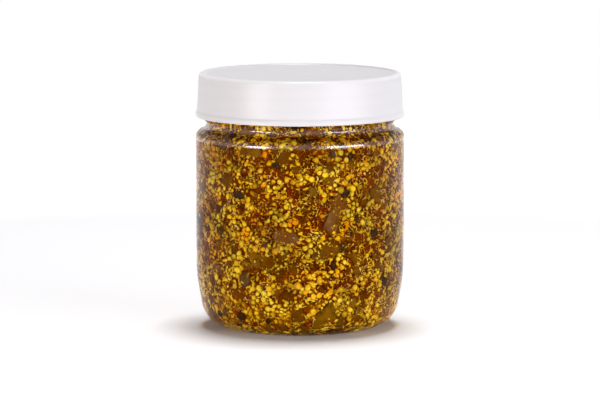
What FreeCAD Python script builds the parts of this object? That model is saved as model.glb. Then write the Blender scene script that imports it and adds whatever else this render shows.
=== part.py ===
"""A clear, blow-moulded jar of chilli pickle with a white screw lid.

Three pieces stand in one frame: Z is up and the origin is the centre of the jar's base.

    jar      clear wall, with a pushed-up base, a tapered heel, a rounded shoulder and a neck
    pickle   what fills the jar up to the fill level, with an uneven top
    lid      moulded lid with a raised rim, a drafted skirt, a flared hem and a sealing ring

The neck carries everything: the body is wider than it by the shoulder's step, the lid's skirt
goes round it and the lid's sealing ring goes into its bore. All sizes are in millimetres.
"""

import FreeCAD, Part
import math
import os
import re

import Sketcher

# ---------------------------------------------------------------- driving sizes

SIZES = {
    # the neck
    "neck_radius": 34.2,  # outside of the neck
    "neck_wall": 1.5,  # the neck isn't blown, so its wall stays thick
    "neck_height": 18.1,  # from the shoulder's inner end up to the neck's rim
    "neck_hollow": 2.0,  # radius of the hollow between neck and shoulder
    "mouth_round": 0.5,  # outer edge of the neck's rim
    "bead_height": 2.4,  # middle of the neck's bead above the shoulder's inner end
    "bead_width": 1.5,
    "bead_reach": 0.5,  # from the neck out to the bead's edge, before it is rounded
    "bead_round": 0.5,
    # the body
    "shoulder_step": 3.8,  # how much wider the body is than the neck, on the radius
    "shoulder_height": 71.3,  # where body and shoulder would meet in a sharp corner
    "shoulder_rise": 1.4,  # from that corner up to the shoulder's inner end
    "shoulder_round": 3.5,
    "body_wall": 0.8,
    "body_draft": 0.4,  # how much the body narrows down to the waist, on the radius
    "waist_height": 19.1,  # where the body bends in towards the heel
    "waist_round": 36.0,  # radius of that bend, in the section
    "heel_inset": 3.2,  # from the waist in to the heel's sharp corner, on the radius
    "heel_round": 10.5,
    "base_wall": 1.0,
    "foot_land": 2.9,  # width of the flat ring that the jar stands on
    "push_up": 3.4,  # how high the middle of the base is pushed up
    "gate_radius": 3.0,  # round mark in the middle of the base, where the plastic went in
    "gate_depth": 0.4,
    # the pickle
    "headspace": 8.6,  # from the neck's rim down to the middle height of the pickle's top
    "unevenness": 0.7,  # how far the top rises and falls from that height
    # the lid
    "thread_room": 1.25,  # clearance between neck and skirt, for the screw thread
    "lid_wall": 1.15,
    "lid_gap": 3.9,  # from the shoulder's inner end up to the lid's hem
    "lid_draft": 0.7,  # how much the skirt widens down to the hem, on the radius
    "lid_plate": 1.15,  # thickness of the flat panel
    "rim_rise": 0.45,  # how far the rim stands above the panel
    "rim_width": 2.1,  # seen from above
    "rim_slope": 0.6,  # width of the slope from rim to panel
    "rim_round": 1.2,
    "hem_height": 1.5,  # height of the hem's upright face
    "hem_flare": 0.45,  # how far the hem stands out from the skirt
    "hem_slope": 0.8,  # height of the slope above the hem
    "hem_round": 0.35,
    "ring_room": 0.2,  # clearance between the neck's bore and the sealing ring
    "ring_wall": 1.0,
    "ring_depth": 2.2,
}

doc = FreeCAD.newDocument("ChilliPickleJar")
sheet = doc.addObject("Spreadsheet::Sheet", "Sizes")
for row, (alias, size) in enumerate(SIZES.items(), start=1):
    sheet.set(f"A{row}", alias.replace("_", " "))
    sheet.set(f"B{row}", str(size))
    sheet.setAlias(f"B{row}", alias)
doc.recompute()

ALIAS = re.compile(r"(?<!\.)\b(" + "|".join(SIZES) + r")\b")


def sizes(expression):
    """The expression with each alias in it written as the sheet's own."""
    return ALIAS.sub(r"Sizes.\1", expression)


def value(expression):
    """What an expression comes to, as a plain number."""
    return float(sheet.evalExpression(expression))


# Radii and heights that more than one piece takes its place from.
BODY = sizes("neck_radius + shoulder_step")
WAIST = sizes(f"{BODY} - body_draft")
HEEL = sizes(f"{WAIST} - heel_inset")
BORE = sizes("neck_radius - neck_wall")
NECK_FOOT = sizes("shoulder_height + shoulder_rise")
MOUTH = sizes(f"{NECK_FOOT} + neck_height")
LEVEL = sizes(f"{MOUTH} - headspace")


# ---------------------------------------------------------------- drawing


def new_body(label):
    body = doc.addObject("PartDesign::Body", label)
    body.Label = label
    return body


def upright_sketch(body, name):
    """A sketch on the body's XZ plane: across is the radius and up is the height."""
    plane = next(f for f in body.Origin.OriginFeatures if f.Role == "XZ_Plane")
    sketch = body.newObject("Sketcher::SketchObject", name)
    sketch.AttachmentSupport = (plane, [""])
    sketch.MapMode = "FlatFace"
    return sketch


WHOLE, START, END, CENTRE = 0, 1, 2, 3  # how a sketch counts the points of a line or an arc
ACROSS_AXIS, UP_AXIS = -1, -2  # a sketch's own axes; the first one starts at the origin


class HalfSection:
    """One side of a turned piece, drawn in a sketch: a closed run of corners, each given as a
    radius, a height and, where it is rounded, the rounding's radius, all as expressions. The
    corners run anticlockwise. With dome, the side up from the last corner to the first, which is
    on the axis, is an arc about the axis in place of a straight line."""

    def __init__(self, body, name, corners, dome=False):
        self.sketch = upright_sketch(body, name)
        self.corners = [corner if len(corner) == 3 else (*corner, None) for corner in corners]
        self.places = [self.vector(value(c[0]), value(c[1])) for c in self.corners]
        count = len(self.corners)
        self.marks = [self.mark(index) for index in range(count)]
        self.roundings = [self.rounding(index) for index in range(count)]
        for index in range(count - dome):
            self.side(index, (index + 1) % count)
        if dome:
            self.dome()

    @staticmethod
    def vector(across, up):
        return FreeCAD.Vector(across, up, 0)

    def hold(self, *constraint):
        return self.sketch.addConstraint(Sketcher.Constraint(*constraint))

    def hold_size(self, expression, *constraint):
        number = self.hold(*constraint, value(expression))
        self.sketch.setExpression(f"Constraints[{number}]", expression)

    def mark(self, index):
        """A construction point held at the corner's radius and height."""
        across, up, _ = self.corners[index]
        point = self.sketch.addGeometry(Part.Point(self.places[index]), True)
        if value(across) == 0:
            self.hold("PointOnObject", point, START, UP_AXIS)
        else:
            self.hold_size(across, "DistanceX", ACROSS_AXIS, START, point, START)
        if value(up) == 0:
            self.hold("PointOnObject", point, START, ACROSS_AXIS)
        else:
            self.hold_size(up, "DistanceY", ACROSS_AXIS, START, point, START)
        return point

    def rounding(self, index):
        """The arc at a corner with the two points where it leaves the sides, or None."""
        radius = self.corners[index][2]
        if radius is None:
            return None
        corner = self.places[index]
        back = (self.places[index - 1] - corner).normalize()
        ahead = (self.places[(index + 1) % len(self.places)] - corner).normalize()
        half = back.getAngle(ahead) / 2
        reach = value(radius) / math.tan(half)
        inward = (back + ahead).normalize()
        centre = corner + inward * (value(radius) / math.sin(half))
        first, last = corner + back * reach, corner + ahead * reach
        # A sketch's arc runs anticlockwise, so at a hollow corner it is entered at its end.
        hollow = (corner - self.places[index - 1]).cross(ahead).z < 0
        low, high = (last, first) if hollow else (first, last)
        turn = [math.atan2(p.y - centre.y, p.x - centre.x) for p in (low, high)]
        circle = Part.Circle(centre, FreeCAD.Vector(0, 0, 1), value(radius))
        arc = self.sketch.addGeometry(Part.ArcOfCircle(circle, *turn), False)
        self.hold_size(radius, "Radius", arc)
        return {"arc": arc, "first": first, "last": last, "in": END if hollow else START}

    def side(self, index, following):
        """A straight side between two corners, joined smoothly to their arcs."""
        leaving, arriving = self.roundings[index], self.roundings[following]
        start = leaving["last"] if leaving else self.places[index]
        end = arriving["first"] if arriving else self.places[following]
        line = self.sketch.addGeometry(Part.LineSegment(start, end), False)
        if leaving:
            self.hold("PointOnObject", self.marks[index], START, line)
            self.hold("Tangent", leaving["arc"], START + END - leaving["in"], line, START)
        else:
            self.hold("Coincident", line, START, self.marks[index], START)
        if arriving:
            self.hold("PointOnObject", self.marks[following], START, line)
            self.hold("Tangent", line, END, arriving["arc"], arriving["in"])
        else:
            self.hold("Coincident", line, END, self.marks[following], START)

    def dome(self):
        """The arc up from the first corner to the last, which lies on the axis."""
        rim, top = self.places[0], self.places[-1]
        rise = top.y - rim.y
        radius = (rim.x**2 + rise**2) / (2 * rise)
        centre = self.vector(0, top.y - radius)
        circle = Part.Circle(centre, FreeCAD.Vector(0, 0, 1), radius)
        turn = math.atan2(rim.y - centre.y, rim.x)
        arc = self.sketch.addGeometry(Part.ArcOfCircle(circle, turn, math.pi / 2), False)
        self.hold("Coincident", arc, START, self.marks[0], START)
        self.hold("Coincident", arc, END, self.marks[-1], START)
        self.hold("PointOnObject", arc, CENTRE, UP_AXIS)


def turn(body, name, corners, dome=False):
    """Adds what the corners enclose, turned once round the upright axis."""
    sketch = HalfSection(body, f"{name}_section", corners, dome).sketch
    feature = body.newObject("PartDesign::Revolution", name)
    feature.Profile = sketch
    feature.ReferenceAxis = (sketch, ["V_Axis"])
    feature.Angle = 360
    sketch.Visibility = False
    doc.recompute()


# ---------------------------------------------------------------- the jar


def jar_outside():
    """The jar as a solid lump, out to its outer face."""
    body = new_body("jar_outside")
    foot = sizes(f"{HEEL} - heel_round * {heel_turn()} - foot_land")
    corners = [
        (foot, "0"),
        (HEEL, "0", sizes("heel_round")),
        (WAIST, sizes("waist_height"), sizes("waist_round")),
        (BODY, sizes("shoulder_height"), sizes("shoulder_round")),
        (sizes("neck_radius"), NECK_FOOT, sizes("neck_hollow")),
        (sizes("neck_radius"), MOUTH, sizes("mouth_round")),
        ("0", MOUTH),
        ("0", sizes("push_up")),
    ]
    turn(body, "jar_lump", corners, dome=True)
    add_neck_bead(body)
    add_gate_mark(body)
    return body


def heel_turn():
    """The heel's rounding reaches this many times its radius along the base."""
    lean = "atan(heel_inset / waist_height)"
    return sizes(f"tan(45 deg - {lean} / 2)")


def add_neck_bead(body):
    """The small ring that the neck keeps from its moulding, just above the shoulder."""
    middle = sizes(f"{NECK_FOOT} + bead_height")
    root = sizes("neck_radius - bead_reach")
    corners = [
        (root, sizes(f"{middle} - bead_width")),
        (sizes("neck_radius + bead_reach"), middle, sizes("bead_round")),
        (root, sizes(f"{middle} + bead_width")),
    ]
    turn(body, "neck_bead", corners)


def add_gate_mark(body):
    """The round mark under the middle of the base."""
    bottom = sizes("push_up - gate_depth")
    top = sizes("push_up + base_wall / 2")
    radius = sizes("gate_radius")
    turn(body, "gate_mark", [("0", bottom), (radius, bottom), (radius, top), ("0", top)])


def jar_inside():
    """The space in the jar, and on past its rim: the jar is hollowed by it, and the pickle
    fills it."""
    body = new_body("jar_inside")
    floor = sizes("base_wall")
    foot = sizes(f"{HEEL} - heel_round * {heel_turn()} - foot_land")
    past_mouth = sizes(f"{MOUTH} + neck_wall")
    corners = [
        (foot, floor),
        (sizes(f"{HEEL} - body_wall"), floor, sizes("heel_round - body_wall")),
        (
            sizes(f"{WAIST} - body_wall"),
            sizes("waist_height"),
            sizes("waist_round - body_wall"),
        ),
        (
            sizes(f"{BODY} - body_wall"),
            sizes("shoulder_height - body_wall"),
            sizes("shoulder_round - body_wall"),
        ),
        (BORE, sizes(f"{NECK_FOOT} - body_wall"), sizes("neck_hollow + body_wall")),
        (BORE, past_mouth),
        ("0", past_mouth),
        ("0", sizes("push_up + base_wall")),
    ]
    turn(body, "jar_space", corners, dome=True)
    return body


# ---------------------------------------------------------------- the pickle


def pickle_block():
    """A block wider than the jar, from the pickle's uneven top down past the base."""
    block = doc.addObject("Part::Feature", "pickle_block")
    reach = value(BODY)
    level = value(LEVEL)
    swell = value(sizes("unevenness")) / 2
    steps = 12
    rows = []
    for i in range(steps + 1):
        u = 2 * i / steps - 1
        row = []
        for j in range(steps + 1):
            v = 2 * j / steps - 1
            lift = math.sin(5.1 * u + 0.6) * math.cos(4.3 * v - 0.4)
            lift += math.sin(3.7 * (u + v) + 1.9) * math.cos(6.2 * u)
            row.append(FreeCAD.Vector(reach * u, reach * v, level + swell * lift))
        rows.append(row)
    surface = Part.BSplineSurface()
    surface.interpolate(rows)
    block.Shape = surface.toShape().extrude(FreeCAD.Vector(0, 0, -2 * level))
    return block


# ---------------------------------------------------------------- the lid


def lid():
    """The lid as it sits when screwed down: the panel rests on the neck's rim."""
    skirt_inside = sizes("neck_radius + thread_room")
    skirt_top = sizes(f"{skirt_inside} + lid_wall")
    skirt_foot = sizes(f"{skirt_top} + lid_draft")
    hem_outside = sizes(f"{skirt_foot} + hem_flare")
    hem_inside = sizes(f"{skirt_inside} + lid_draft / 2")
    hem = sizes(f"{NECK_FOOT} + lid_gap")
    hem_top = sizes(f"{hem} + hem_height")
    panel = sizes(f"{MOUTH} + lid_plate")
    rim_top = sizes(f"{panel} + rim_rise")
    rim_inside = sizes(f"{skirt_top} - rim_width")
    ring_outside = sizes(f"{BORE} - ring_room")
    ring_inside = sizes(f"{ring_outside} - ring_wall")
    ring_foot = sizes(f"{MOUTH} - ring_depth")
    corners = [
        ("0", MOUTH),
        (ring_inside, MOUTH),
        (ring_inside, ring_foot),
        (ring_outside, ring_foot),
        (ring_outside, MOUTH),
        (skirt_inside, MOUTH),
        (hem_inside, hem),
        (hem_outside, hem, sizes("hem_round")),
        (hem_outside, hem_top, sizes("hem_slope")),
        (skirt_foot, sizes(f"{hem_top} + hem_slope"), sizes("hem_slope")),
        (skirt_top, rim_top, sizes("rim_round")),
        (rim_inside, rim_top, sizes("rim_slope")),
        (sizes(f"{rim_inside} - rim_slope"), panel),
        ("0", panel),
    ]
    body = new_body("lid")
    turn(body, "lid_turned", corners)
    return body


# ---------------------------------------------------------------- assembly and export


def combine(kind, label, base, tool):
    feature = doc.addObject(f"Part::{kind}", label)
    feature.Label = label
    feature.Base = base
    feature.Tool = tool
    doc.recompute()
    return feature


def check(pieces):
    """Stops the build if anything failed, or if a piece isn't one valid solid."""
    for thing in doc.Objects:
        if "Invalid" in thing.State or "Error" in thing.State:
            raise RuntimeError(f"{thing.Label} failed: {thing.State}")
    for piece in pieces:
        shape = piece.Shape
        if shape.isNull() or not shape.isValid() or len(shape.Solids) != 1:
            raise RuntimeError(f"{piece.Label} isn't one valid solid")


def main():
    inside = jar_inside()
    pieces = [
        combine("Cut", "jar", jar_outside(), inside),
        combine("Common", "pickle", inside, pickle_block()),
        lid(),
    ]
    doc.recompute()
    check(pieces)
    os.makedirs("parts", exist_ok=True)
    for piece in pieces:
        piece.Shape.exportStep(f"parts/{piece.Label}.step")
        box = piece.Shape.BoundBox
        print(
            f"{piece.Label}: {piece.Shape.Volume / 1000:.1f} cm3, "
            f"x {box.XMin:.2f} to {box.XMax:.2f}, z {box.ZMin:.2f} to {box.ZMax:.2f}"
        )


main()
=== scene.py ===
"""Dresses a screw-lid jar of chilli pickle: clear wall, white lid, and seeds and chilli in oil."""
import math
from dataclasses import dataclass

import bpy
import numpy as np
from bpy.props import FloatProperty, FloatVectorProperty, IntProperty, PointerProperty
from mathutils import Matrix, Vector, noise
from mathutils.bvhtree import BVHTree


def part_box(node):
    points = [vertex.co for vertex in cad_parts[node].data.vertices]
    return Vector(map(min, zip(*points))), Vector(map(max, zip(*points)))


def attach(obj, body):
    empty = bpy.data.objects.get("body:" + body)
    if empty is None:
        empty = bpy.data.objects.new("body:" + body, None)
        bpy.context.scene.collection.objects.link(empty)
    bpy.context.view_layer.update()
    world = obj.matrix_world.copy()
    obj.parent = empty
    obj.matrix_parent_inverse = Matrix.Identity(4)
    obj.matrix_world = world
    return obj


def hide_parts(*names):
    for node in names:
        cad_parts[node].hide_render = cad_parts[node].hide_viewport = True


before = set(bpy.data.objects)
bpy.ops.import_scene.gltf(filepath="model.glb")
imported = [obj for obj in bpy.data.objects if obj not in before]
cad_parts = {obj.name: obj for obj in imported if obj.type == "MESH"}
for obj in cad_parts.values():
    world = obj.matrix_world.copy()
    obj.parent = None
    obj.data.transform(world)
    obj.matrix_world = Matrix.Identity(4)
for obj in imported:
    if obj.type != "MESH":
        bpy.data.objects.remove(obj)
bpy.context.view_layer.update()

bl_info = {
    "name": "Chilli pickle jar",
    "version": (1, 0, 0),
    "blender": (4, 5, 0),
    "location": "3D View > Sidebar > Pickle jar",
    "description": "Finishes a jar of chilli pickle, grain by grain, and sets it on a studio floor",
    "category": "Object",
}

MM = 0.001
BODY = "root"
LID_BOX, PICKLE_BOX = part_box("lid"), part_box("pickle")


def put(name, data):
    """A new object in the scene, made of that mesh, lamp or camera."""
    made = bpy.data.objects.new(name, data)
    bpy.context.scene.collection.objects.link(made)
    return made


# ------------------------------------------------------------------ what a user can change


def length(name, description, default):
    """A length in metres, shown in the scene's own unit."""
    return FloatProperty(
        name=name, description=description, default=default, min=0, precision=5,
        subtype="DISTANCE", unit="LENGTH",
    )


def colour(name, description, default):
    return FloatVectorProperty(
        name=name, description=description, default=default, size=3, min=0, max=1,
        subtype="COLOR",
    )


def share(name, description, default):
    return FloatProperty(
        name=name, description=description, default=default, min=0, max=1, subtype="FACTOR"
    )


class JarLook(bpy.types.PropertyGroup):
    wall_tint: colour("Wall tint", "What the clear wall lets through", (0.97, 0.975, 0.97))
    wall_index: FloatProperty(
        name="Wall index", description="How strongly the wall bends light",
        default=1.2, min=1, max=2,
    )
    wall_mirror: share("Wall mirror", "How much of its mirroring the wall keeps", 0.2)
    crown_gloss: share("Crown gloss", "Extra gloss of the shoulder's edge and the neck", 1.0)
    gloss_from: length("Gloss from", "Height at which that gloss sets in", 68.5 * MM)
    neck_ripple: length("Neck ripple", "Height of the uneven streaks round the neck", 0.03 * MM)
    wall_waviness: length("Waviness", "Height of the blown wall's slow waves", 0.02 * MM)
    oil_tint: colour("Oil tint", "Colour of the oil", (0.95, 0.84, 0.06))
    oil_strength: FloatProperty(
        name="Oil strength", description="How fast the oil darkens with depth",
        default=1500, min=0,
    )
    oil_bite: length("Oil bite", "How far the oil reaches into the wall", 0.1 * MM)


class LidLook(bpy.types.PropertyGroup):
    plastic: colour("Plastic", "Colour of the lid", (0.67, 0.655, 0.67))
    roughness: share("Roughness", "How dull the lid is", 0.38)
    thread_pitch: length("Thread pitch", "Rise of the thread that shows faintly", 4.2 * MM)
    thread_width: length("Thread width", "Width of that thread", 1.1 * MM)
    thread_shade: share("Thread shade", "How much darker it looks", 0.012)
    # painted shade: how much darker the flat top is coloured than the side
    disc_shade: share("Top shade", "How much duller the flat top is than the side", 0.13)


class PickleLook(bpy.types.PropertyGroup):
    seed_width: length("Seed width", "Width of a split seed", 2 * MM)
    seed_count: IntProperty(name="Split seeds", default=4200, min=1, max=5500)
    cup_count: IntProperty(name="Hollow seeds", default=2000, min=1, max=3000)
    curl_count: IntProperty(name="Curled hulls", default=2700, min=1, max=4000)
    crumb_count: IntProperty(name="Crumbs", default=9300, min=1, max=9900)
    grit_count: IntProperty(name="Grit", default=10500, min=1, max=24000)
    chilli_count: IntProperty(name="Chilli pieces", default=390, min=1, max=1000)
    skin_count: IntProperty(name="Chilli skins", default=48, min=1, max=500)
    flake_count: IntProperty(name="Red flakes", default=380, min=1, max=2000)
    dark_count: IntProperty(name="Dark seeds", default=110, min=1, max=1000)
    clump: length("Clump", "Width of the crowded and the bare patches", 8 * MM)
    paste_depth: length("Paste depth", "From the wall down to the spice paste", 0.95 * MM)
    paste_relief: length("Paste relief", "How uneven the paste is", 0.5 * MM)
    seed_dull: colour("Dull seed", "The dullest seeds", (0.50, 0.34, 0.03))
    seed_bright: colour("Bright seed", "Most seeds", (0.81, 0.635, 0.085))
    seed_warm: colour("Warm seed", "Seeds that took up chilli", (0.82, 0.39, 0.02))
    hull_pale: colour("Pale hull", "The palest hulls", (0.84, 0.67, 0.42))
    paste_dark: colour("Dark paste", "Paste in the deepest gaps", (0.055, 0.009, 0.0005))
    paste_red: colour("Red paste", "Paste with the most chilli", (0.135, 0.026, 0.001))
    paste_olive: colour("Olive paste", "Paste with the most seed", (0.34, 0.165, 0.004))
    chilli_olive: colour("Olive chilli", "Green chilli, as pickled", (0.165, 0.073, 0.0005))
    chilli_green: colour("Green chilli", "The greenest chilli", (0.145, 0.08, 0.0005))
    chilli_brown: colour("Brown chilli", "Darker chilli", (0.115, 0.045, 0.001))
    skin_grey: colour("Grey skin", "Skins that have lost their colour", (0.13, 0.055, 0.036))
    skin_pale: colour("Pale skin", "Creases in those skins", (0.24, 0.115, 0.085))
    flake_red: colour("Red flake", "Chilli flakes", (0.22, 0.022, 0.004))
    dark_seed: colour("Dark seed", "Small black seeds", (0.034, 0.014, 0.010))
    dark_rim: colour("Dark seed's rim", "Their worn edges", (0.10, 0.048, 0.038))


class StageLook(bpy.types.PropertyGroup):
    camera_distance: length("Camera distance", "From the jar's axis, along the floor", 1.4394)
    camera_height: length("Camera height", "Above the floor", 0.2276)
    camera_dip: FloatProperty(
        name="Camera dip", description="How far the camera looks down",
        default=math.radians(7.2), subtype="ANGLE", unit="ROTATION",
    )
    lens: FloatProperty(name="Lens", description="Focal length in mm", default=239.6, min=1)
    ambient: FloatProperty(
        name="Ambient", description="Strength of the light from all round", default=0.07, min=0
    )
    floor: colour("Floor", "Colour of the floor", (0.97, 0.97, 0.97))
    near_lift: share("Near lift", "Light the floor adds near the jar, where it's seen", 0.04)
    far_lift: share("Far lift", "The same far away, where the lamps hardly reach", 0.57)
    lift_from: length("Lift from", "From the jar's axis to where the near lift ends", 0.3)
    lift_to: length("Lift to", "From the jar's axis to where the far lift is full", 0.46)


GROUPS = {
    "jar_look": JarLook,
    "lid_look": LidLook,
    "pickle_look": PickleLook,
    "stage_look": StageLook,
}


# ------------------------------------------------------------------ shader maths


class Number:
    """The output of a node, which is added, multiplied and divided like a number."""

    def __init__(self, finish, socket):
        self.finish = finish
        self.socket = socket

    def maths(self, operation, *others):
        node = self.finish.node("ShaderNodeMath", {"operation": operation})
        for socket, value in zip(node.inputs, (self, *others)):
            self.finish.feed(socket, value)
        return Number(self.finish, node.outputs[0])

    def reflected(self, operation, other):
        node = self.finish.node("ShaderNodeMath", {"operation": operation})
        self.finish.feed(node.inputs[0], other)
        self.finish.feed(node.inputs[1], self)
        return Number(self.finish, node.outputs[0])

    def __add__(self, other):
        return self.maths("ADD", other)

    __radd__ = __add__

    def __sub__(self, other):
        return self.maths("SUBTRACT", other)

    def __rsub__(self, other):
        return self.reflected("SUBTRACT", other)

    def __mul__(self, other):
        return self.maths("MULTIPLY", other)

    __rmul__ = __mul__

    def __truediv__(self, other):
        return self.maths("DIVIDE", other)

    def __rtruediv__(self, other):
        return self.reflected("DIVIDE", other)

    def fraction(self):
        return self.maths("FRACT")

    def absolute(self):
        return self.maths("ABSOLUTE")

    def ramp(self, low, high, start=0.0, end=1.0):
        """start at low and below, end at high and above, and smooth in between."""
        node = self.finish.node(
            "ShaderNodeMapRange",
            {"interpolation_type": "SMOOTHSTEP"},
            {"Value": self, "From Min": low, "From Max": high, "To Min": start, "To Max": end},
        )
        return Number(self.finish, node.outputs[0])


class Finish:
    """One material's nodes."""

    def __init__(self, name):
        self.material = bpy.data.materials.new(name)
        self.material.use_nodes = True
        self.tree = self.material.node_tree
        self.tree.nodes.clear()

    def feed(self, socket, value):
        """Links a node's output to the socket, or sets the socket to a number or a colour."""
        if isinstance(value, Number):
            value = value.socket
        if isinstance(value, bpy.types.NodeSocket):
            self.tree.links.new(value, socket)
        elif socket.type == "RGBA":
            socket.default_value = (*value, 1.0)
        else:
            socket.default_value = value

    def node(self, kind, settings=None, inputs=None):
        """A node of that kind, with its settings set first and then its sockets fed."""
        node = self.tree.nodes.new(kind)
        for name, setting in (settings or {}).items():
            if name == "stops":
                set_stops(node.color_ramp, setting)
            else:
                setattr(node, name, setting)
        for name, value in (inputs or {}).items():
            self.feed(node.inputs[name], value)
        return node

    def number(self, kind, output, settings=None, inputs=None):
        return Number(self, self.node(kind, settings, inputs).outputs[output])

    def place(self):
        """Where a point lies in the object's own frame, in metres."""
        return self.node("ShaderNodeTexCoord").outputs["Object"]

    def axes(self):
        """The same place as three numbers: X, Y and Z."""
        node = self.node("ShaderNodeSeparateXYZ", {}, {"Vector": self.place()})
        return [Number(self, node.outputs[axis]) for axis in "XYZ"]

    def from_axis(self):
        """How far a point is from the object's Z axis."""
        x, y, _ = self.axes()
        return (x * x + y * y).maths("SQRT")

    def point(self, x, y, z):
        return self.node("ShaderNodeCombineXYZ", {}, {"X": x, "Y": y, "Z": z}).outputs[0]

    def attribute(self, name):
        return self.number("ShaderNodeAttribute", "Fac", {"attribute_name": name})

    def noise(self, size, detail=2.0, roughness=0.5, at=None):
        """Soft noise from 0 to 1, with features of that size in metres. It's read at the point
        itself, or at another one, which can stretch or bend it."""
        return self.number(
            "ShaderNodeTexNoise", "Fac", {},
            {"Vector": self.place() if at is None else at, "Scale": 1 / size,
             "Detail": detail, "Roughness": roughness},
        )

    def blend(self, factor, first, second, blend_type="MIX"):
        """first where the factor is 0, second where it is 1, or first times second there."""
        node = self.node("ShaderNodeMix", {"data_type": "RGBA", "blend_type": blend_type})
        self.feed(node.inputs[0], factor)
        self.feed(node.inputs[6], first)
        self.feed(node.inputs[7], second)
        return node.outputs[2]

    def bump(self, height, distance):
        """Relief that is this many metres deep where the height is 1."""
        return self.node(
            "ShaderNodeBump", {}, {"Height": height, "Distance": distance, "Strength": 1.0}
        ).outputs[0]

    def principled(self, inputs):
        return self.node("ShaderNodeBsdfPrincipled", {}, inputs).outputs[0]

    def mix_shaders(self, factor, first, second):
        node = self.node("ShaderNodeMixShader")
        self.feed(node.inputs[0], factor)
        self.feed(node.inputs[1], first)
        self.feed(node.inputs[2], second)
        return node.outputs[0]

    def straight_through(self):
        return self.node("ShaderNodeBsdfTransparent").outputs[0]

    def see_through(self, clear):
        """A clear shader that lamps shine through: for light on its way to what lies behind, the
        surface isn't there."""
        straight = self.straight_through()
        path = self.node("ShaderNodeLightPath")
        by_bounce = self.mix_shaders(path.outputs["Is Diffuse Ray"], clear, straight)
        return self.mix_shaders(path.outputs["Is Shadow Ray"], by_bounce, straight)

    def done(self, surface, volume=None):
        output = self.node("ShaderNodeOutputMaterial", {}, {"Surface": surface})
        if volume is not None:
            self.feed(output.inputs["Volume"], volume)
        return self.material


def set_stops(ramp, stops):
    """Gives a colour ramp these stops, each a place and a colour."""
    while len(ramp.elements) > 1:
        ramp.elements.remove(ramp.elements[-1])
    for index, (place, shade) in enumerate(stops):
        stop = ramp.elements[0] if index == 0 else ramp.elements.new(place)
        stop.position = place
        stop.color = (*shade, 1.0)


# ------------------------------------------------------------------ finishes


def clear_plastic(look):
    """The wall. Its outer face bends and mirrors light, with more gloss on the shoulder's edge
    and the neck. Behind its inner face lies oil, which bends light as much as the wall does, so
    nothing shows of that face."""
    finish = Finish("clear_plastic")
    x, y, z = finish.axes()
    above = z - look.gloss_from
    sets_in = above.ramp(-0.2 * MM, 0.2 * MM)
    thins = above.ramp(MM, 1.8 * MM, 1, 0.12)
    ends = above.ramp(2 * MM, 2.4 * MM, 1, 0)
    neck = above.ramp(3.6 * MM, 4.2 * MM)
    under_lid = above.ramp(6 * MM, 7.5 * MM, 0.7, 0.25)
    crown = sets_in * thins * ends + neck * under_lid
    smear = finish.noise(5 * MM).ramp(0.35, 0.65, 0.8, 1.0)
    waves = finish.noise(9 * MM, detail=1.0)
    streaks = finish.noise(1.6 * MM, detail=1.0, at=finish.point(x * 0.4, y * 0.4, z * 1.6))
    height = waves * look.wall_waviness + streaks * neck * look.neck_ripple
    glass = finish.principled({
        "Base Color": look.wall_tint,
        "Roughness": 0.0,
        "IOR": look.wall_index,
        "Specular Tint": (look.wall_mirror, look.wall_mirror, look.wall_mirror),
        "Transmission Weight": 1.0,
        "Coat Weight": crown * smear * look.crown_gloss,
        "Coat Roughness": 0.16,
        "Coat IOR": 1.7,
        "Normal": finish.bump(height, 1.0),
    })
    inner = finish.node("ShaderNodeNewGeometry").outputs["Backfacing"]
    faces = finish.mix_shaders(inner, glass, finish.straight_through())
    return finish.done(finish.see_through(faces))


def pickle_oil(look):
    """The oil only takes up light, because the wall's outer face has bent it already."""
    finish = Finish("pickle_oil")
    depth = finish.node(
        "ShaderNodeVolumeAbsorption", {},
        {"Color": look.oil_tint, "Density": look.oil_strength},
    )
    return finish.done(finish.straight_through(), depth.outputs[0])


def lid_plastic(look):
    """White moulded plastic, through which the thread shows faintly. The flat top is coloured
    darker than the side: painted shade.
    """
    finish = Finish("lid_plastic")
    x, y, z = finish.axes()
    turn = y.maths("ARCTAN2", x) / (2 * math.pi)
    height = (z - LID_BOX[0].z) / look.thread_pitch - turn
    from_thread = (height.fraction() - 0.5).absolute() * look.thread_pitch
    thread = from_thread.ramp(look.thread_width * 0.3, look.thread_width, 1, 0)
    radius = finish.from_axis()
    skirt = radius.ramp(33 * MM, 35.5 * MM)
    near_top = (z / LID_BOX[1].z).ramp(0.9, 0.93)
    # painted shade on the flat top, inside the rim
    panel = radius.ramp(34.5 * MM, 35.5 * MM, 1, 0) * near_top
    cloud = finish.noise(14 * MM, detail=3.0)
    darker = thread * skirt * look.thread_shade + cloud * 0.02 + panel * look.disc_shade
    satin = finish.noise(0.5 * MM)
    flow = finish.noise(7 * MM, detail=1.0)
    return finish.done(finish.principled({
        "Base Color": finish.blend(1 - darker, (0, 0, 0), look.plastic),
        "Roughness": cloud * 0.1 + (look.roughness - 0.05),
        "Specular IOR Level": 0.25,
        "Normal": finish.bump(satin * 0.15 + flow, 0.02 * MM),
    }))


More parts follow.
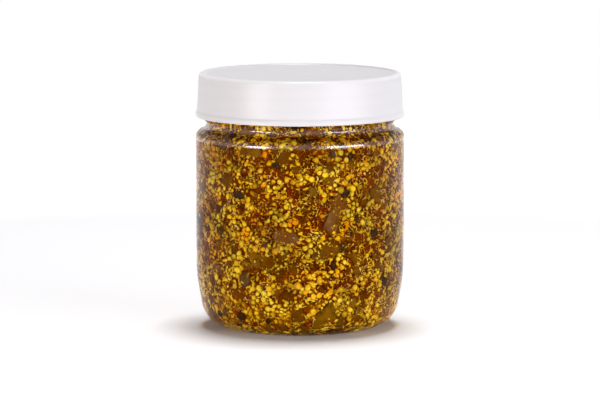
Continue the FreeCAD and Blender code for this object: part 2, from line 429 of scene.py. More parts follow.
def paste(look):
    """Chilli paste with seeds too deep to show clearly, which is coloured paler towards
    the base."""
    finish = Finish("spice_paste")
    cells = finish.node(
        "ShaderNodeTexVoronoi", {"feature": "F1"},
        {"Vector": finish.place(), "Scale": 1 / (1.5 * MM)},
    )
    tone = finish.number(
        "ShaderNodeSeparateColor", "Red", {}, {"Color": cells.outputs["Color"]}
    )
    near = Number(finish, cells.outputs["Distance"]).ramp(0.25, 0.5, 1, 0)
    seeds = tone.ramp(0.55, 0.9) * near
    cloud = finish.noise(6 * MM, detail=3.0).ramp(0.35, 0.65)
    ground = finish.blend(cloud, look.paste_dark, look.paste_red)
    grit = finish.noise(0.45 * MM, detail=3.0, roughness=0.7)
    gritty = finish.blend(grit.ramp(0.52, 0.7), ground, look.paste_olive)
    shown = finish.blend(seeds * 0.75, gritty, look.paste_olive)
    height = finish.axes()[2]
    # paler towards the base, by height alone
    settled = finish.blend(height.ramp(4 * MM, 18 * MM, 0.7, 0), shown, look.paste_olive)
    return finish.done(finish.principled({
        "Base Color": settled,
        "Roughness": 0.6,
        "Specular IOR Level": 0.02,
        "Normal": finish.bump(grit, 0.12 * MM),
    }))


def grain(name, stops, speckle=0.3, size=0.6 * MM, rim=0.85, rim_tint=(0.78, 0.54, 0.4)):
    """A finish for scattered grains. Each takes its tone from its own number from 0 to 1, and
    the tint towards its rim. Slow patches make them paler or darker, specks of that size darker
    again, and near the base and at the shoulder they are coloured paler: painted light."""
    finish = Finish(name)
    tone = finish.attribute("tone")
    body = finish.node("ShaderNodeValToRGB", {"stops": stops}, {"Fac": tone}).outputs[0]
    towards_rim = finish.attribute("rim").ramp(0.45, 1.0) * rim
    tinted = finish.blend(towards_rim, body, rim_tint, "MULTIPLY")
    mottle = finish.noise(size, detail=3.0, roughness=0.6)
    slow = finish.noise(14 * MM, detail=1.0).ramp(0.3, 0.7, 0.74, 1.22)
    height = finish.axes()[2]
    # painted light: grains near the base and at the shoulder are coloured paler, where the lamps
    # reach them less
    near_base = height.ramp(2 * MM, 18 * MM, 1.7, 1)
    near_shoulder = height.ramp(66 * MM, 71 * MM, 1, 1.25)
    palest = 1.18  # the most that the stops' colours are raised
    fresh = (slow * near_base * near_shoulder).maths("MINIMUM", palest)
    shown = finish.node(
        "ShaderNodeHueSaturation", {},
        {"Color": tinted, "Value": fresh * mottle.ramp(0.42, 0.68, 1, 1 - speckle)},
    ).outputs[0]
    return finish.done(finish.principled({
        "Base Color": shown,
        "Roughness": 0.45,
        "Specular IOR Level": 0.04,
        "Normal": finish.bump(mottle, 0.06 * MM),
    }))


def chilli_skin(look):
    """Wrinkled skin of chilli, grey from the brine, with paler creases along it."""
    finish = Finish("chilli_skin")
    x, y, z = finish.axes()
    lean = finish.noise(5 * MM, detail=1.0) * 6 * MM
    along = finish.point(x + lean, y - lean, z * 0.6 + lean)
    creases = finish.noise(1.5 * MM, detail=4.0, at=along)
    tone = finish.attribute("tone")
    ground = finish.blend(tone.ramp(0.3, 0.6), look.dark_seed, look.skin_grey)
    shown = finish.blend(creases.ramp(0.5, 0.72) * 0.7, ground, look.skin_pale)
    return finish.done(finish.principled({
        "Base Color": shown,
        "Roughness": 0.4,
        "Specular IOR Level": 0.08,
        "Normal": finish.bump(creases, 0.15 * MM),
    }))


# ------------------------------------------------------------------ grains


def skin_over(rings, sides):
    """The triangles over corners in this order: one on the axis, rings of that many sides, and
    one more on the axis. They face out where the rings run down."""
    here = np.arange(sides)
    beside = (here + 1) % sides
    triangles = [np.stack([np.zeros(sides, int), here + 1, beside + 1], axis=1)]
    for ring in range(rings - 1):
        a, b = 1 + ring * sides, 1 + (ring + 1) * sides
        triangles.append(np.stack([a + here, b + here, b + beside], axis=1))
        triangles.append(np.stack([a + here, b + beside, a + beside], axis=1))
    end = 1 + (rings - 1) * sides
    triangles.append(np.stack([end + here, np.full(sides, end + sides), end + beside], axis=1))
    return np.vstack(triangles)


def turned(profile, sides):
    """A closed lump turned about Z from points (radius, height); the first and last are on the
    axis. Returns its corners and its triangles."""
    angles = np.arange(sides) * 2 * math.pi / sides
    around = np.stack([np.cos(angles), np.sin(angles)], axis=1)
    rings = [np.column_stack([around * radius, np.full(sides, height)])
             for radius, height in profile[1:-1]]
    corners = np.vstack([[[0, 0, profile[0][1]]], *rings, [[0, 0, profile[-1][1]]]])
    return corners, skin_over(len(rings), sides)


def lopsided(corners, rng, amount, stretch=0.0):
    """The same lump, with a wavy outline, drawn out along X and a little bent."""
    angle = np.arctan2(corners[:, 1], corners[:, 0])
    wave = np.ones(len(corners))
    for lobes in (2, 3, 5):
        wave += amount / lobes * rng.uniform(0.3, 1) * np.cos(lobes * angle + rng.uniform(0, 6.3))
    made = corners.copy()
    made[:, :2] *= wave[:, None]
    made[:, 0] *= 1 + stretch * rng.uniform(0.2, 1)
    made[:, 2] += rng.uniform(-0.15, 0.15) * made[:, 0] ** 2
    return made


def rough_ball(rng, amount):
    """A twenty-sided lump with its corners pushed about."""
    golden = (1 + math.sqrt(5)) / 2
    base = [(s * 1, t * golden, 0) for s in (-1, 1) for t in (-1, 1)]
    corners = np.array([[p[i], p[(i + 1) % 3], p[(i + 2) % 3]] for i in range(3) for p in base])
    corners /= np.linalg.norm(corners[0])
    edge = min(np.linalg.norm(corners[0] - corner) for corner in corners[1:])
    near = np.linalg.norm(corners[:, None] - corners[None], axis=2) < 1.01 * edge
    triangles = []
    for a in range(12):
        for b in range(a + 1, 12):
            for c in range(b + 1, 12):
                if near[a, b] and near[b, c] and near[a, c]:
                    outward = np.dot(np.cross(corners[b] - corners[a], corners[c] - corners[a]),
                                     corners[a])
                    triangles.append((a, b, c) if outward > 0 else (a, c, b))
    return corners * (1 + amount * rng.uniform(-1, 1, (12, 1))), np.array(triangles)


def curled_hull(rng):
    """A thin strip of hull, curled round about Y and narrower at its ends."""
    sweep = rng.uniform(1.6, 4.2)
    steps = 7
    angles = np.linspace(-sweep / 2, sweep / 2, steps + 1)
    inner = 0.84
    section = np.array([(1.0, -0.5), (1.0, 0.5), (inner, 0.42), (inner, -0.42)])
    rows = []
    for angle in angles:
        width = 0.9 * (0.25 + 0.4 * math.cos(angle / sweep * math.pi) ** 0.7)
        radius = section[:, 0] * (1 + 0.12 * math.sin(angle * 2))
        rows.append(np.column_stack([
            radius * math.sin(angle), section[:, 1] * width, radius * math.cos(angle) - 0.6,
        ]))
    corners = np.vstack(rows)
    triangles = [(0, 2, 1), (0, 3, 2)]
    for step in range(steps):
        a = step * 4
        b = a + 4
        for k in range(4):
            n = (k + 1) % 4
            triangles += [(a + k, a + n, b + n), (a + k, b + n, b + k)]
    end = steps * 4
    triangles += [(end, end + 1, end + 2), (end, end + 2, end + 3)]
    return corners * (1 + 0.1 * rng.uniform(-1, 1)), np.array(triangles)


def half_seed(rng):
    """Half of a split seed: domed on one side and nearly flat on the other."""
    corners, triangles = turned([(0, 0.42), (0.72, 0.32), (1, 0), (0, -0.06)], 9)
    return lopsided(corners, rng, 0.32, 0.22), triangles


def hollow_seed(rng):
    """Half of a seed's hull, which is open underneath."""
    corners, triangles = turned([(0, 0.5), (0.75, 0.36), (1, 0.03), (0.7, 0.04), (0, 0.36)], 9)
    return lopsided(corners, rng, 0.3, 0.3), triangles


def crumb(rng):
    """A broken bit, longer than it is thick."""
    corners, triangles = rough_ball(rng, 0.3)
    return corners * rng.uniform([0.7, 0.3, 0.2], [1.7, 0.85, 0.5]), triangles


def grit(rng):
    """The smallest lump, with eight sides."""
    corners = np.array([(1, 0, 0), (0, 1, 0), (-1, 0, 0), (0, -1, 0), (0, 0, 1), (0, 0, -1.0)])
    triangles = [(0, 1, 4), (1, 2, 4), (2, 3, 4), (3, 0, 4),
                 (1, 0, 5), (2, 1, 5), (3, 2, 5), (0, 3, 5)]
    return corners * rng.uniform([0.7, 0.5, 0.4], [1.4, 1, 0.7]), np.array(triangles)


def cut_outline(corners, rng, sides):
    """The same lump with its round outline cut to a few straight sides."""
    made = corners.copy()
    for number in range(sides):
        angle = 2 * math.pi * (number + rng.uniform(-0.3, 0.3)) / sides
        way = np.array([math.cos(angle), math.sin(angle)])
        over = np.maximum(made[:, :2] @ way - rng.uniform(0.55, 0.85), 0)
        made[:, :2] -= over[:, None] * way * 0.93
    return made


def chilli_piece(rng):
    """A flat piece with cut edges and a gently uneven face."""
    profile = [(0, 0.10), (0.5, 0.11), (0.9, 0.09), (1, 0), (0.9, -0.09), (0.5, -0.11), (0, -0.10)]
    corners, triangles = turned(profile, 16)
    made = cut_outline(corners, rng, rng.integers(3, 6))
    made = lopsided(made, rng, 0.12)
    made[:, 0] *= rng.uniform(1.0, 1.9)
    swell = rng.uniform(1.5, 3.5, 2)
    made[:, 2] += 0.05 * np.sin(made[:, 0] * swell[0] + rng.uniform(0, 6)) * np.cos(
        made[:, 1] * swell[1] + rng.uniform(0, 6))
    return made, triangles


def red_flake(rng):
    """A thin flake with four cut sides."""
    corners, triangles = turned([(0, 0.12), (0.9, 0.09), (1, 0), (0.9, -0.09), (0, -0.12)], 9)
    made = lopsided(cut_outline(corners, rng, 4), rng, 0.2)
    made[:, 0] *= rng.uniform(1.0, 2.0)
    return made, triangles


def dark_seed(rng):
    """A thick seed with a cut and lopsided outline."""
    profile = [(0, 0.3), (0.5, 0.27), (0.85, 0.15), (1, 0), (0.8, -0.2), (0, -0.25)]
    corners, triangles = turned(profile, 12)
    made = lopsided(cut_outline(corners, rng, rng.integers(2, 5)), rng, 0.3)
    made[:, 0] *= rng.uniform(1.0, 1.9)
    return made, triangles


class Filling:
    """The inside of the wall, as the pickle's solid gives it. Grains lie thinly under the lid
    and crowd at the base, where they have settled."""

    UNDER_LID_SHARE = 0.35
    SETTLED_SHARE = 1.8
    SETTLED_HEIGHT = 14 * MM

    def __init__(self):
        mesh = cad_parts["pickle"].data
        mesh.calc_loop_triangles()
        corners = np.zeros(len(mesh.vertices) * 3)
        mesh.vertices.foreach_get("co", corners)
        corners = corners.reshape(-1, 3)
        index = np.zeros(len(mesh.loop_triangles) * 3, int)
        mesh.loop_triangles.foreach_get("vertices", index)
        index = index.reshape(-1, 3)
        self.solid = BVHTree.FromPolygons([Vector(c) for c in corners], index.tolist())
        self.triangles = corners[index]
        a, b, c = (self.triangles[:, k] for k in range(3))
        cross = np.cross(b - a, c - a)
        twice_area = np.linalg.norm(cross, axis=1)
        self.normals = cross / np.maximum(twice_area, 1e-12)[:, None]
        under_lid = self.triangles[:, :, 2].min(axis=1) > LID_BOX[0].z + MM
        settled = self.triangles[:, :, 2].max(axis=1) < self.SETTLED_HEIGHT
        self.room = twice_area / 2
        self.room[under_lid] *= self.UNDER_LID_SHARE
        self.room[settled] *= self.SETTLED_SHARE
        # how wide the inside is at each height, and how high the base is at each radius
        self.heights = np.linspace(PICKLE_BOX[0].z, PICKLE_BOX[1].z, 500)[1:-1]
        outside = PICKLE_BOX[1].x + 5 * MM
        self.widths = np.array([outside - self.reach(Vector((outside, 0, z)), Vector((-1, 0, 0)))
                                for z in self.heights])
        self.radii = np.linspace(0, PICKLE_BOX[1].x, 300)[:-3]
        middle = (PICKLE_BOX[0].z + PICKLE_BOX[1].z) / 2
        self.floors = np.array([middle - self.reach(Vector((r, 0, middle)), Vector((0, 0, -1)))
                                for r in self.radii])

    def reach(self, start, way):
        """How far the wall is from a point, that way."""
        return (self.solid.ray_cast(start, way)[0] - start).length

    def inside(self, places):
        """The same places, with those beyond the wall or the base moved back to it."""
        made = places.copy()
        radius = np.linalg.norm(made[:, :2], axis=1)
        made[:, 2] = np.maximum(made[:, 2], np.interp(radius, self.radii, self.floors))
        widest = np.interp(made[:, 2], self.heights, self.widths)
        made[:, :2] *= np.minimum(1, widest / np.maximum(radius, 1e-9))[:, None]
        return made

    def points(self, rng, count):
        """Random points on the inside, and which way is out there."""
        which = rng.choice(len(self.room), count, p=self.room / self.room.sum())
        u, v = rng.random(count), rng.random(count)
        over = u + v > 1
        u[over], v[over] = 1 - u[over], 1 - v[over]
        a, b, c = (self.triangles[which, k] for k in range(3))
        return a + u[:, None] * (b - a) + v[:, None] * (c - a), self.normals[which]


class Spacing:
    """Keeps grains from lying on each other where they meet the wall. A grain is compared with
    those in its own cell and the cells beside it."""

    CELL = 3 * MM

    def __init__(self):
        self.cells = {}

    def key(self, place):
        return tuple(int(math.floor(value / self.CELL)) for value in place)

    def has_room(self, place, radius):
        x, y, z = self.key(place)
        for i in (x - 1, x, x + 1):
            for j in (y - 1, y, y + 1):
                for k in (z - 1, z, z + 1):
                    for px, py, pz, other in self.cells.get((i, j, k), ()):
                        gap = (px - place[0]) ** 2 + (py - place[1]) ** 2 + (pz - place[2]) ** 2
                        if gap < (radius + other) ** 2:
                            return False
        return True

    def take(self, place, radius):
        self.cells.setdefault(self.key(place), []).append((*place, radius))


def crowding(place, size, seed):
    """How crowded it is at a place, from 0 to 1, in clumps of about that size."""
    point = Vector(place) / size + Vector((seed, 2 * seed, -seed))
    value = noise.noise(point) + 0.45 * noise.noise(2.3 * point)
    return min(max(0.5 + 2.3 * value, 0.0), 1.0)


@dataclass
class Kind:
    """One kind of grain. Those that follow a clump are left out of its bare patches."""

    name: str
    shape: callable  # makes a lump's corners and triangles, about 1 in radius
    count: int
    radius: tuple  # the least, the usual and the greatest
    depth: float  # how far most lie from the wall
    tilt: float  # how unevenly they're turned
    flip: float = 0.5  # the share that lies face down
    crowd: float = 0.85  # the share of its radius that each keeps free round it
    deep_share: float = 0.0  # the share that lies deeper, behind the others
    deep: float = 0.8 * MM  # about how deep that is
    clump: tuple = None  # the width and the seed of the clumps that they follow
    least: float = 0.0  # the share that is kept in the bare patches


VARIANTS = 24  # how many shapes each kind of grain comes in
BATCH = 2000  # how many places are tried at a time
MOST_BATCHES = 50
BARE_DEPTH = 0.7 * MM  # how much deeper grains lie in a bare patch
DRIFT = (15 * MM, 41.0)  # the width and the seed of the patches where all tones run high or low
DRIFT_STRENGTH = 0.4
WARMTH = ([10 * MM, 60 * MM], [0.84, 1.04])  # how tones grow from the low height to the high one


def settle(kind, filling, spacing, rng):
    """Finds places for a kind of grain along the wall: for each its place, the way out there,
    its radius and how much deeper than its kind it lies."""
    chosen = []
    shallow_count = int(kind.count * (1 - kind.deep_share))
    batches = 0
    while len(chosen) < shallow_count and batches < MOST_BATCHES:
        batches += 1
        places, normals = filling.points(rng, BATCH)
        radii = rng.triangular(*kind.radius, BATCH)
        luck = rng.random(BATCH)
        for place, normal, radius, chance in zip(places, normals, radii, luck):
            crowd = crowding(place, *kind.clump) if kind.clump else 1.0
            if chance > kind.least + (1 - kind.least) * crowd:
                continue
            if spacing.has_room(place, radius * kind.crowd):
                spacing.take(place, radius * kind.crowd)
                chosen.append((place, normal, radius, (1 - crowd) * BARE_DEPTH))
                if len(chosen) == shallow_count:
                    break
    deep_count = kind.count - shallow_count
    places, normals = filling.points(rng, deep_count)
    radii = rng.triangular(*kind.radius, deep_count)
    deep = kind.deep * rng.uniform(0.5, 1.3, deep_count)
    return chosen + list(zip(places, normals, radii, deep))


def frames_for(normals, rng, tilt, flip):
    """A rotation for each grain: its Z along the way out, tilted at random, some face down."""
    count = len(normals)
    axis = normals + rng.normal(0, tilt, (count, 3))
    axis /= np.linalg.norm(axis, axis=1)[:, None]
    axis *= np.where(rng.random(count) < flip, -1, 1)[:, None]
    helper = rng.normal(size=(count, 3))
    across = np.cross(axis, helper)
    across /= np.linalg.norm(across, axis=1)[:, None]
    return np.stack([across, np.cross(axis, across), axis], axis=2)


def heap(kind, filling, spacing, rng):
    """One mesh of all grains of a kind."""
    chosen = settle(kind, filling, spacing, rng)
    places, normals, radii, extra = (np.array(column) for column in zip(*chosen))
    count = len(chosen)
    turns = frames_for(normals, rng, kind.tilt, kind.flip)
    gaps = np.abs(rng.normal(0, kind.depth, count)) + extra
    drift = np.array([crowding(place, *DRIFT) for place in places])
    tones = np.clip(rng.random(count) + DRIFT_STRENGTH * (drift - 0.5), 0, 1)
    tones *= np.interp(places[:, 2], *WARMTH)
    variant = rng.integers(0, VARIANTS, count)
    all_corners, all_triangles, all_tones, all_rims = [], [], [], []
    start = 0
    for number in range(VARIANTS):
        corners, triangles = kind.shape(rng)
        away = np.linalg.norm(corners[:, :2], axis=1)
        mine = np.flatnonzero(variant == number)
        if not len(mine):
            continue
        placed = np.einsum("gij,kj->gki", turns[mine], corners) * radii[mine, None, None]
        reach = np.einsum("gki,gi->gk", placed, normals[mine]).max(axis=1)
        centre = places[mine] - normals[mine] * (reach + gaps[mine])[:, None]
        placed += centre[:, None, :]
        all_corners.append(filling.inside(placed.reshape(-1, 3)))
        all_rims.append(np.tile(away / away.max(), len(mine)))
        offsets = start + np.arange(len(mine)) * len(corners)
        all_triangles.append((triangles[None] + offsets[:, None, None]).reshape(-1, 3))
        all_tones.append(np.repeat(tones[mine], len(corners)))
        start += len(mine) * len(corners)
    return mesh_piece(
        kind.name, np.vstack(all_corners), np.vstack(all_triangles),
        {"tone": np.concatenate(all_tones), "rim": np.concatenate(all_rims)},
    )


def mesh_piece(name, corners, triangles, shades=None):
    """A smooth-shaded mesh object from arrays of corners and triangles, with named numbers at its
    corners for its finish to read."""
    mesh = bpy.data.meshes.new(name)
    mesh.vertices.add(len(corners))
    mesh.vertices.foreach_set("co", corners.astype(np.float32).ravel())
    mesh.loops.add(triangles.size)
    mesh.loops.foreach_set("vertex_index", triangles.astype(np.int32).ravel())
    mesh.polygons.add(len(triangles))
    mesh.polygons.foreach_set("loop_start", np.arange(0, triangles.size, 3, dtype=np.int32))
    mesh.polygons.foreach_set("use_smooth", np.ones(len(triangles), bool))
    for label, values in (shades or {}).items():
        mesh.attributes.new(label, "FLOAT", "POINT").data.foreach_set(
            "value", values.astype(np.float32))
    mesh.update(calc_edges=True)
    mesh.validate()
    return put(name, mesh)


# ------------------------------------------------------------------ wall, paste and oil


WALL_SIDES = 144
WALL_SPAN = 1.5 * MM  # the longest straight span in the wall's section
SAME_POINT = 0.01 * MM  # points of the section nearer than this are one
SHARP_ANGLE = math.radians(50)  # edges sharper than this stay sharp


def section_of(node):
    """The section of a turned solid that meets its axis twice: points (radius, height) from where
    it starts at the top of the base, over the mouth and down to the underside."""
    mesh = node.data
    mesh.calc_loop_triangles()
    corners = [vertex.co.copy() for vertex in mesh.vertices]
    beside = 0.001 * MM  # just beside the seam, where the corners of the outline lie
    widest_gap = 0.05 * MM
    cuts = []
    for triangle in mesh.loop_triangles:
        three = [corners[index] for index in triangle.vertices]
        cut = []
        for first, second in zip(three, three[1:] + three[:1]):
            if (first.y > beside) != (second.y > beside):
                point = first.lerp(second, (beside - first.y) / (second.y - first.y))
                cut.append((math.copysign(math.hypot(point.x, point.y), point.x), point.z))
        if len(cut) == 2 and min(cut)[0] > -beside and cut[0] != cut[1]:
            cuts.append(cut)
    on_axis = sorted((end[1], index) for index, cut in enumerate(cuts)
                     for end in cut if end[0] < 2 * beside)
    outline = sorted(cuts.pop(on_axis[-1][1]))
    while cuts:
        tip = outline[-1]
        gap, index, end = min(
            (math.dist(tip, cut[end]), index, end)
            for index, cut in enumerate(cuts) for end in (0, 1))
        if gap > widest_gap:
            break
        outline.append(cuts.pop(index)[1 - end])
    return outline


def evenly(outline, longest):
    """The same outline without its doubled points, and with its long spans divided."""
    made = [outline[0]]
    for point in outline[1:]:
        span = math.dist(made[-1], point)
        if span < SAME_POINT:
            continue
        steps = math.ceil(span / longest)
        start = made[-1]
        made += [tuple(a + (b - a) * step / steps for a, b in zip(start, point))
                 for step in range(1, steps + 1)]
    made[0] = (0.0, made[0][1])
    made[-1] = (0.0, made[-1][1])
    return made


def wall_body():
    """The jar's own wall, turned with even facets, so that highlights run smoothly round it."""
    outline = evenly(section_of(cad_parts["jar"]), WALL_SPAN)
    wall = mesh_piece("jar_wall", *turned(outline, WALL_SIDES))
    wall.data.set_sharp_from_angle(angle=SHARP_ANGLE)
    return wall


def rays_from_middle(filling, rows, columns):
    """Points on the inside of the wall and the ways out there, as a grid of rows from the base up
    to the top, evenly spaced along the jar's section, and the two points on the axis."""
    middle = Vector((0, 0, (PICKLE_BOX[0].z + PICKLE_BOX[1].z) / 2))
    lean, pole_lean = 1e-6, 1e-5  # keep the rays off the seam
    angles = np.linspace(-math.pi / 2, math.pi / 2, 2000)
    section = [
        filling.solid.ray_cast(middle, Vector((math.cos(rise) + lean, 0, math.sin(rise))))[0]
        for rise in angles
    ]
    steps = [0.0] + [(b - a).length for a, b in zip(section, section[1:])]
    along = np.cumsum(steps)
    even = np.interp(np.linspace(0, along[-1], rows + 2)[1:-1], along, angles)
    places, ways = [], []
    for rise in even:
        for column in range(columns):
            turn = 2 * math.pi * column / columns
            way = Vector((
                math.cos(rise) * math.cos(turn), math.cos(rise) * math.sin(turn), math.sin(rise)
            ))
            hit, normal, _, _ = filling.solid.ray_cast(middle, way)
            places.append(hit)
            ways.append(normal if normal.dot(way) > 0 else -normal)
    poles = [filling.solid.ray_cast(middle, Vector((pole_lean, 0, z)))[0] for z in (-1, 1)]
    return np.array(places), np.array(ways), np.array(poles)


def paste_core(look, filling):
    """The pickle's mass: a smaller core with the relief of the grains that are pressed in it."""
    rows, columns = 150, 230
    least_depth = 0.12 * MM
    places, ways, poles = rays_from_middle(filling, rows, columns)
    relief = np.zeros(len(places))
    for index, place in enumerate(places):
        point = Vector(place)
        swell = noise.noise(point / (4 * MM))
        lumps = noise.voronoi(point / (2.2 * MM))[0][0]
        relief[index] = swell + 1.4 * (lumps - 0.45)
    depth = np.maximum(look.paste_depth + look.paste_relief * relief, least_depth)
    sunk = poles + np.array([[0, 0, look.paste_depth], [0, 0, -look.paste_depth]])
    corners = np.vstack([sunk[:1], places - ways * depth[:, None], sunk[1:]])
    return mesh_piece("spice_paste", corners, skin_over(rows, columns)[:, ::-1])


def oil_body(look):
    """The oil, up to the fill level and a little into the wall, so that no air shows between."""
    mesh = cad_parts["pickle"].data.copy()
    mesh.name = "oil"
    surface_from = PICKLE_BOX[1].z - 2.5 * MM  # the uneven surface lies higher than this
    for vertex, normal in zip(mesh.vertices, [v.normal.copy() for v in mesh.vertices]):
        faces_up = normal.z >= 0.3
        if vertex.co.z < surface_from or not faces_up:
            vertex.co += normal * look.oil_bite
    return put("oil", mesh)


# ------------------------------------------------------------------ operators


def finish_piece(piece, material):
    """Gives a piece its finish and lets it ride on the jar's body."""
    piece.data.materials.clear()
    piece.data.materials.append(material)
    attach(piece, BODY)
    return piece


FILLING = Filling()
SPACING = Spacing()  # fills up as the operators run in their order


def scatter(kind, rng, material):
    """Makes all grains of a kind, with their finish."""
    finish_piece(heap(kind, FILLING, SPACING, rng), material)


class JAR_OT_clear_wall(bpy.types.Operator):
    """Make the jar's wall of clear plastic, with even facets"""

    bl_idname = "pickle_jar.clear_wall"
    bl_label = "Clear wall"

    def execute(self, context):
        wall = finish_piece(wall_body(), clear_plastic(context.scene.jar_look))
        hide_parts("jar")
        return {"FINISHED"}


class JAR_OT_white_lid(bpy.types.Operator):
    """Finish the lid as white moulded plastic"""

    bl_idname = "pickle_jar.white_lid"
    bl_label = "White lid"

    def execute(self, context):
        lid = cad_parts["lid"]
        lid.data.materials.clear()
        lid.data.materials.append(lid_plastic(context.scene.lid_look))
        return {"FINISHED"}


class JAR_OT_oil(bpy.types.Operator):
    """Fill the jar with oil, in place of the plain solid"""

    bl_idname = "pickle_jar.oil"
    bl_label = "Oil"

    def execute(self, context):
        look = context.scene.jar_look
        oil = finish_piece(oil_body(look), pickle_oil(look))
        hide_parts("pickle")
        return {"FINISHED"}


class JAR_OT_paste(bpy.types.Operator):
    """Make the core of spice paste under the grains"""

    bl_idname = "pickle_jar.paste"
    bl_label = "Spice paste"

    def execute(self, context):
        look = context.scene.pickle_look
        finish_piece(paste_core(look, FILLING), paste(look))
        return {"FINISHED"}


class JAR_OT_chilli_pieces(bpy.types.Operator):
    """Press cut pieces of green chilli against the wall"""

    bl_idname = "pickle_jar.chilli_pieces"
    bl_label = "Chilli pieces"

    def execute(self, context):
        look = context.scene.pickle_look
        kind = Kind(
            "chilli_pieces", chilli_piece, look.chilli_count,
            radius=(1.3 * MM, 2.4 * MM, 4.6 * MM), depth=0.2 * MM, tilt=0.14, crowd=0.5,
            deep_share=0.2, clump=(1.4 * look.clump, 21.0), least=0.25,
        )
        stops = [(0.0, look.chilli_brown), (0.25, look.chilli_brown),
                 (0.4, look.chilli_olive), (0.8, look.chilli_olive),
                 (0.95, look.chilli_green)]
        material = grain("green_chilli", stops, speckle=0.25, size=1.8 * MM, rim=0.5,
                         rim_tint=(0.7, 0.6, 0.6))
        scatter(kind, np.random.default_rng(11), material)
        return {"FINISHED"}


class JAR_OT_chilli_skins(bpy.types.Operator):
    """Add the wrinkled grey skins"""

    bl_idname = "pickle_jar.chilli_skins"
    bl_label = "Chilli skins"

    def execute(self, context):
        look = context.scene.pickle_look
        kind = Kind(
            "chilli_skins", chilli_piece, look.skin_count,
            radius=(2.0 * MM, 3.2 * MM, 5.5 * MM), depth=0.25 * MM, tilt=0.1, crowd=0.45,
        )
        scatter(kind, np.random.default_rng(19), chilli_skin(look))
        return {"FINISHED"}


class JAR_OT_dark_seeds(bpy.types.Operator):
    """Add the few black seeds"""

    bl_idname = "pickle_jar.dark_seeds"
    bl_label = "Dark seeds"

    def execute(self, context):
        look = context.scene.pickle_look
        kind = Kind(
            "dark_seeds", dark_seed, look.dark_count,
            radius=(0.6 * MM, 1.1 * MM, 2.6 * MM), depth=0.08 * MM, tilt=0.15, crowd=0.6,
            deep_share=0.2,
        )
        stops = [(0.0, look.dark_seed), (0.4, look.dark_seed), (1.0, look.dark_rim)]
        material = grain("black_seed", stops, speckle=0.5, rim_tint=(2.2, 1.9, 1.9))
        scatter(kind, np.random.default_rng(12), material)
        return {"FINISHED"}


class JAR_OT_red_flakes(bpy.types.Operator):
    """Add thin flakes of red chilli"""

    bl_idname = "pickle_jar.red_flakes"
    bl_label = "Red flakes"

    def execute(self, context):
        look = context.scene.pickle_look
        kind = Kind(
            "red_flakes", red_flake, look.flake_count,
            radius=(0.4 * MM, 0.7 * MM, 1.5 * MM), depth=0.3 * MM, tilt=0.5, crowd=0.7,
            deep_share=0.3, clump=(look.clump, 31.0), least=0.1,
        )
        stops = [(0.0, look.flake_red), (0.6, look.flake_red), (1.0, look.paste_red)]
        scatter(kind, np.random.default_rng(13), grain("red_chilli", stops))
        return {"FINISHED"}


class JAR_OT_split_seeds(bpy.types.Operator):
    """Scatter the split seeds, the hollow ones among them, along the wall"""

    bl_idname = "pickle_jar.split_seeds"
    bl_label = "Split seeds"

    def execute(self, context):
        look = context.scene.pickle_look
        seed_radius = look.seed_width / 2
        rng = np.random.default_rng(14)
        stops = [(0.0, look.seed_dull), (0.22, look.seed_bright),
                 (0.78, look.seed_bright), (0.94, look.seed_warm)]
        material = grain("split_seed", stops)
        halves = Kind(
            "split_seeds", half_seed, look.seed_count,
            radius=(0.42 * seed_radius, 0.8 * seed_radius, 1.5 * seed_radius), depth=0.09 * MM,
            tilt=0.35, flip=0.35, crowd=0.78, deep_share=0.28, clump=(look.clump, 3.0),
            least=0.16,
        )
        scatter(halves, rng, material)
        cups = Kind(
            "hollow_seeds", hollow_seed, look.cup_count,
            radius=(0.45 * seed_radius, 0.8 * seed_radius, 1.3 * seed_radius), depth=0.12 * MM,
            tilt=0.5, flip=0.75, crowd=0.8, deep_share=0.3, clump=(look.clump, 3.0), least=0.2,
        )
        scatter(cups, rng, material)
        return {"FINISHED"}


class JAR_OT_hulls(bpy.types.Operator):
    """Scatter the curled hulls that came off the seeds"""

    bl_idname = "pickle_jar.hulls"
    bl_label = "Curled hulls"

    def execute(self, context):
        look = context.scene.pickle_look
        seed_radius = look.seed_width / 2
        kind = Kind(
            "curled_hulls", curled_hull, look.curl_count,
            radius=(0.4 * seed_radius, 0.7 * seed_radius, 1.15 * seed_radius), depth=0.1 * MM,
            tilt=1.2, crowd=0.62, deep_share=0.15, clump=(look.clump, 7.0), least=0.3,
        )
        stops = [(0.0, look.seed_bright), (0.5, look.hull_pale), (1.0, look.seed_warm)]
        scatter(kind, np.random.default_rng(15), grain("seed_hull", stops, rim=0.0))
        return {"FINISHED"}


class JAR_OT_crumbs(bpy.types.Operator):
    """Fill in with crumbs of seed and with the finest grit"""

    bl_idname = "pickle_jar.crumbs"
    bl_label = "Crumbs"

    def execute(self, context):
        look = context.scene.pickle_look
        crumbs = Kind(
            "seed_crumbs", crumb, look.crumb_count,
            radius=(0.2 * MM, 0.34 * MM, 0.75 * MM), depth=0.12 * MM, tilt=1.0, crowd=0.6,
            deep_share=0.2, deep=0.35 * MM, clump=(0.8 * look.clump, 9.0), least=0.1,
        )
        stops = [(0.0, look.paste_red), (0.12, look.seed_dull), (0.3, look.seed_bright),
                 (0.65, look.seed_bright), (0.8, look.hull_pale), (0.95, look.seed_warm)]
        scatter(crumbs, np.random.default_rng(16), grain("seed_crumb", stops, rim=0.3))
        specks = Kind(
            "spice_grit", grit, look.grit_count,
            radius=(0.12 * MM, 0.18 * MM, 0.34 * MM), depth=0.15 * MM, tilt=1.0, crowd=0.5,
            deep_share=0.3, deep=0.5 * MM,
        )
        stops = [(0.0, look.paste_red), (0.2, look.flake_red), (0.4, look.seed_dull),
                 (0.6, look.seed_bright), (0.8, look.hull_pale), (0.95, look.seed_warm)]
        scatter(specks, np.random.default_rng(17), grain("spice_grit", stops, rim=0.0))
        return {"FINISHED"}


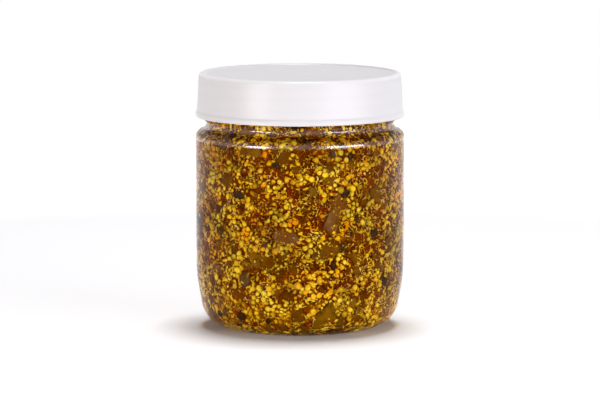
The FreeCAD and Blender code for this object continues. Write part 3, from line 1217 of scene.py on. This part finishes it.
class JAR_OT_stage(bpy.types.Operator):
    """Set up the floor, the lamps, the world and the camera"""

    bl_idname = "pickle_jar.stage"
    bl_label = "Stage"

    def execute(self, context):
        look = context.scene.stage_look
        make_floor(look)
        make_world(look)
        make_lamps()
        make_camera(look)
        context.scene.view_settings.view_transform = "Standard"
        return {"FINISHED"}


# ------------------------------------------------------------------ stage


def seen_or_mirrored(finish):
    """1 for rays that show the background: from the camera, off gloss and through glass."""
    path = finish.node("ShaderNodeLightPath")
    seen = Number(finish, path.outputs["Is Camera Ray"])
    for name in ("Is Glossy Ray", "Is Transmission Ray"):
        seen = seen.maths("MAXIMUM", Number(finish, path.outputs[name]))
    return seen


def make_floor(look):
    """A matt floor. It also gives off a little light where it's seen, more of it far away, so
    that it runs into the white behind it and keeps its shadow near the jar."""
    half = 0.7  # of its width
    mesh = bpy.data.meshes.new("floor")
    mesh.from_pydata(
        [(-half, -half, 0), (half, -half, 0), (half, half, 0), (-half, half, 0)], [],
        [(0, 1, 2, 3)],
    )
    floor = put("floor", mesh)
    finish = Finish("studio_floor")
    matt = finish.node("ShaderNodeBsdfDiffuse", {}, {"Color": look.floor}).outputs[0]
    lift = finish.from_axis().ramp(look.lift_from, look.lift_to, look.near_lift, look.far_lift)
    glow = finish.node(
        "ShaderNodeEmission", {},
        {"Color": finish.blend(lift, (0, 0, 0), (1, 1, 1)), "Strength": seen_or_mirrored(finish)},
    ).outputs[0]
    both = finish.node("ShaderNodeAddShader", {}, {0: matt, 1: glow}).outputs[0]
    floor.data.materials.append(finish.done(both))


class WorldFinish(Finish):
    """The world's nodes."""

    def __init__(self, name):
        self.world = bpy.data.worlds.new(name)
        self.world.use_nodes = True
        self.tree = self.world.node_tree
        self.tree.nodes.clear()


def make_world(look):
    """White where it's seen, and a faint light from all round."""
    finish = WorldFinish("studio")
    strength = seen_or_mirrored(finish) * (1 - look.ambient) + look.ambient
    light = finish.node(
        "ShaderNodeBackground", {}, {"Color": (1, 1, 1), "Strength": strength}
    ).outputs[0]
    finish.node("ShaderNodeOutputWorld", {}, {"Surface": light})
    bpy.context.scene.world = finish.world


def make_lamps():
    """A wide lamp low at the right, a smaller one at the left and one above, all aimed at the
    jar's middle."""
    middle = Vector((0, 0, 45 * MM))
    for name, place, size, power, tint in (
        ("window", (1.1, -0.9, 0.17), (1.2, 0.28), 17.5, (0.96, 0.95, 0.99)),
        ("front_left", (-1.05, -0.98, 0.08), (0.65, 0.14), 12.5, (1.0, 0.94, 0.91)),
        ("overhead", (0.04, 0.13, 1.45), (0.42, 0.44), 18.5, (0.99, 0.98, 1.0)),
    ):
        lamp = bpy.data.lights.new(name, "AREA")
        lamp.shape = "RECTANGLE"
        lamp.size, lamp.size_y = size
        lamp.energy = power
        lamp.color = tint
        holder = put(name, lamp)
        holder.location = place
        holder.rotation_euler = (middle - Vector(place)).to_track_quat("-Z", "Y").to_euler()


def make_camera(look):
    data = bpy.data.cameras.new("camera")
    data.lens = look.lens
    data.sensor_width = 36
    camera = put("camera", data)
    camera.location = (0, -look.camera_distance, look.camera_height)
    camera.rotation_euler = (math.pi / 2 - look.camera_dip, 0, 0)
    bpy.context.scene.camera = camera


OPERATORS = (
    JAR_OT_clear_wall, JAR_OT_white_lid, JAR_OT_oil, JAR_OT_paste, JAR_OT_chilli_pieces,
    JAR_OT_chilli_skins, JAR_OT_dark_seeds, JAR_OT_red_flakes, JAR_OT_split_seeds, JAR_OT_hulls,
    JAR_OT_crumbs, JAR_OT_stage,
)


class JAR_PT_panel(bpy.types.Panel):
    """Lists the operators, and the sizes and colours to set"""

    bl_label = "Pickle jar"
    bl_idname = "JAR_PT_panel"
    bl_space_type = "VIEW_3D"
    bl_region_type = "UI"
    bl_category = "Pickle jar"

    def draw(self, context):
        for operator in OPERATORS:
            self.layout.operator(operator.bl_idname)
        for name, group in GROUPS.items():
            box = self.layout.box()
            for field in group.__annotations__:
                box.prop(getattr(context.scene, name), field)


def register():
    for group in GROUPS.values():
        bpy.utils.register_class(group)
    for name, group in GROUPS.items():
        setattr(bpy.types.Scene, name, PointerProperty(type=group))
    for operator in OPERATORS:
        bpy.utils.register_class(operator)
    bpy.utils.register_class(JAR_PT_panel)


def unregister():
    bpy.utils.unregister_class(JAR_PT_panel)
    for operator in reversed(OPERATORS):
        bpy.utils.unregister_class(operator)
    for name, group in GROUPS.items():
        delattr(bpy.types.Scene, name)
        bpy.utils.unregister_class(group)


def main():
    register()
    for operator in OPERATORS:
        family, action = operator.bl_idname.split(".")
        getattr(getattr(bpy.ops, family), action)()


if __name__ == "__main__":
    main()
